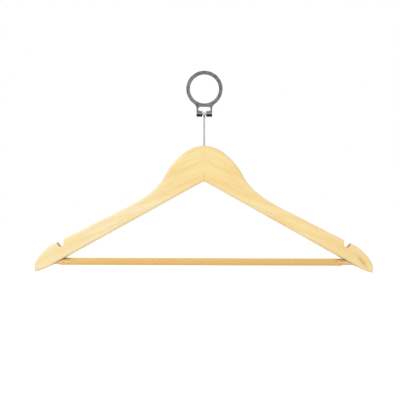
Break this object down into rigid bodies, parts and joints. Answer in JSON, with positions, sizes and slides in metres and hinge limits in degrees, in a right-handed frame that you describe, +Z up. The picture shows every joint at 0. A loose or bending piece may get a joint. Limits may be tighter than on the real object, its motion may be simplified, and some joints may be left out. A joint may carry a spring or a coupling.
{
  "type": "security coat hanger",
  "caption": "Flat wooden coat hanger whose headed pin turns in a closed steel ring; comb-jointed arms with strap notches and a sleeved trouser bar.",
  "frame": {"origin": "centre of the ring's bore, half way through its plate, where the rail passes", "axes": "+X along the hanger to the right, +Y along the rail to the back, +Z up"},
  "size_m": [0.4448, 0.013, 0.2645],
  "materials": {
    "ring_steel": "stamped steel plate with a dull dark nickel plating",
    "pin_nickel": "turned steel pin with bright nickel plating",
    "lacquered_wood": "pale straight-grained hardwood under clear satin lacquer",
    "dowel_wood": "turned pale hardwood dowel, sanded",
    "clear_vinyl": "extruded amber see-through vinyl tube with fine ribs",
    "brad_steel": "bright drawn steel"
  },
  "bodies": {
    "ring": {"security_ring": "ring_steel"},
    "pin": {"swivel_pin": "pin_nickel"},
    "hanger": {"left_arm": "lacquered_wood", "right_arm": "lacquered_wood", "trouser_bar": "dowel_wood", "grip_sleeve": "clear_vinyl", "left_bar_brad": "brad_steel", "right_bar_brad": "brad_steel"}
  },
  "joints": [
    {"name": "pin_lift", "type": "slide", "parent": "ring", "child": "pin", "axis": [0, 0, 1], "range_m": [0, 0.0383]},
    {"name": "hanger_swivel", "type": "hinge", "parent": "pin", "child": "hanger", "pos_m": [0, 0.0055, -0.0743], "axis": [0, 0, 1], "continuous": true}
  ]
}
